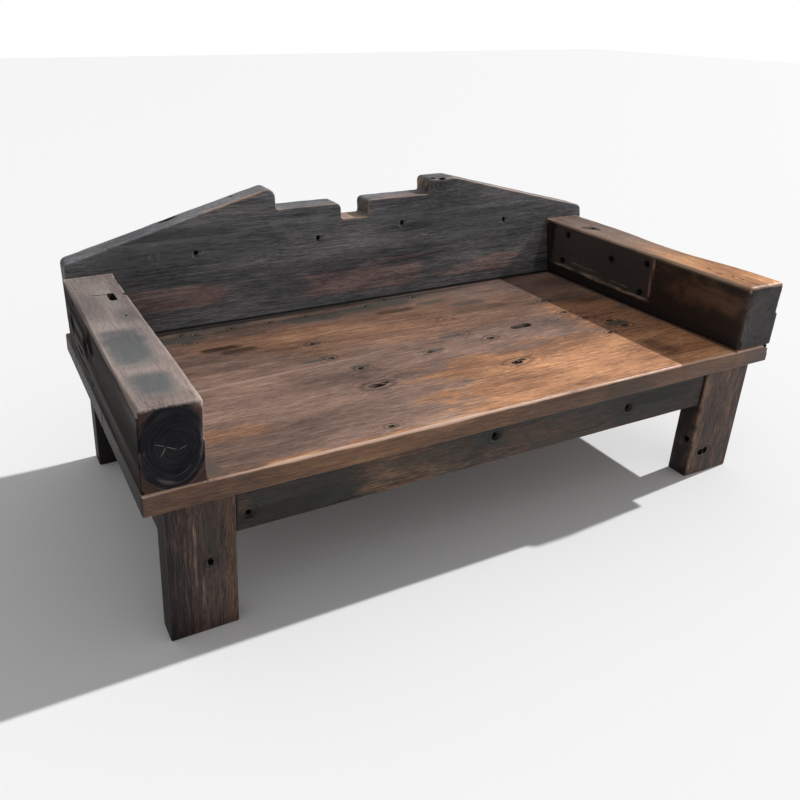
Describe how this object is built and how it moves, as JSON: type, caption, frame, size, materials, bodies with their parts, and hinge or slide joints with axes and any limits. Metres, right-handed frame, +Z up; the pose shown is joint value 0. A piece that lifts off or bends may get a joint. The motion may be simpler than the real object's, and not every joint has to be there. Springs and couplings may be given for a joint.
{
  "type": "daybed",
  "caption": "Low deep daybed of reclaimed timber: thick plank seat on a mortised leg frame, squared beam arms and a leaning slab backrest with a stepped crest.",
  "frame": {"origin": "middle of the footprint, on the floor", "axes": "+X to the sitter's left hand side as seen from the front (right in the front view), +Y to the backrest, +Z up"},
  "size_m": [1.822, 0.9203, 0.7784],
  "materials": {
    "leg_timber": "oiled, weathered, fine checks",
    "apron_timber": "weathered grey-green, oiled",
    "bearer_timber": "sawn, unfinished",
    "seat_timber": "oiled, worn smooth, streaked",
    "seat_rear_timber": "weathered, oiled",
    "left_arm_timber": "weathered grey-brown, oiled",
    "right_arm_timber": "oiled, dark inside, worn top",
    "backrest_timber": "charcoal, weathered, oiled",
    "pin_timber": "turned, unfinished",
    "bolt_steel": "zinc worn dark"
  },
  "bodies": {
    "root": {"apron_front": "apron_timber", "apron_left": "apron_timber", "apron_rear": "apron_timber", "apron_right": "apron_timber", "arm_bolt_washers": "bolt_steel", "arm_bolts": "bolt_steel", "arm_left": "left_arm_timber", "arm_right": "right_arm_timber", "backrest": "backrest_timber", "backrest_bolt_washers": "bolt_steel", "backrest_bolts": "bolt_steel", "backrest_foot_dowels": "pin_timber", "bearer_left": "bearer_timber", "bearer_middle": "bearer_timber", "bearer_right": "bearer_timber", "frame_pegs": "pin_timber", "leg_front_left": "leg_timber", "leg_front_right": "leg_timber", "leg_rear_left": "leg_timber", "leg_rear_right": "leg_timber", "seat_board_front": "seat_timber", "seat_board_middle": "seat_timber", "seat_board_rear": "seat_rear_timber", "seat_dowels": "pin_timber", "seat_screws": "bolt_steel"}
  },
  "joints": []
}
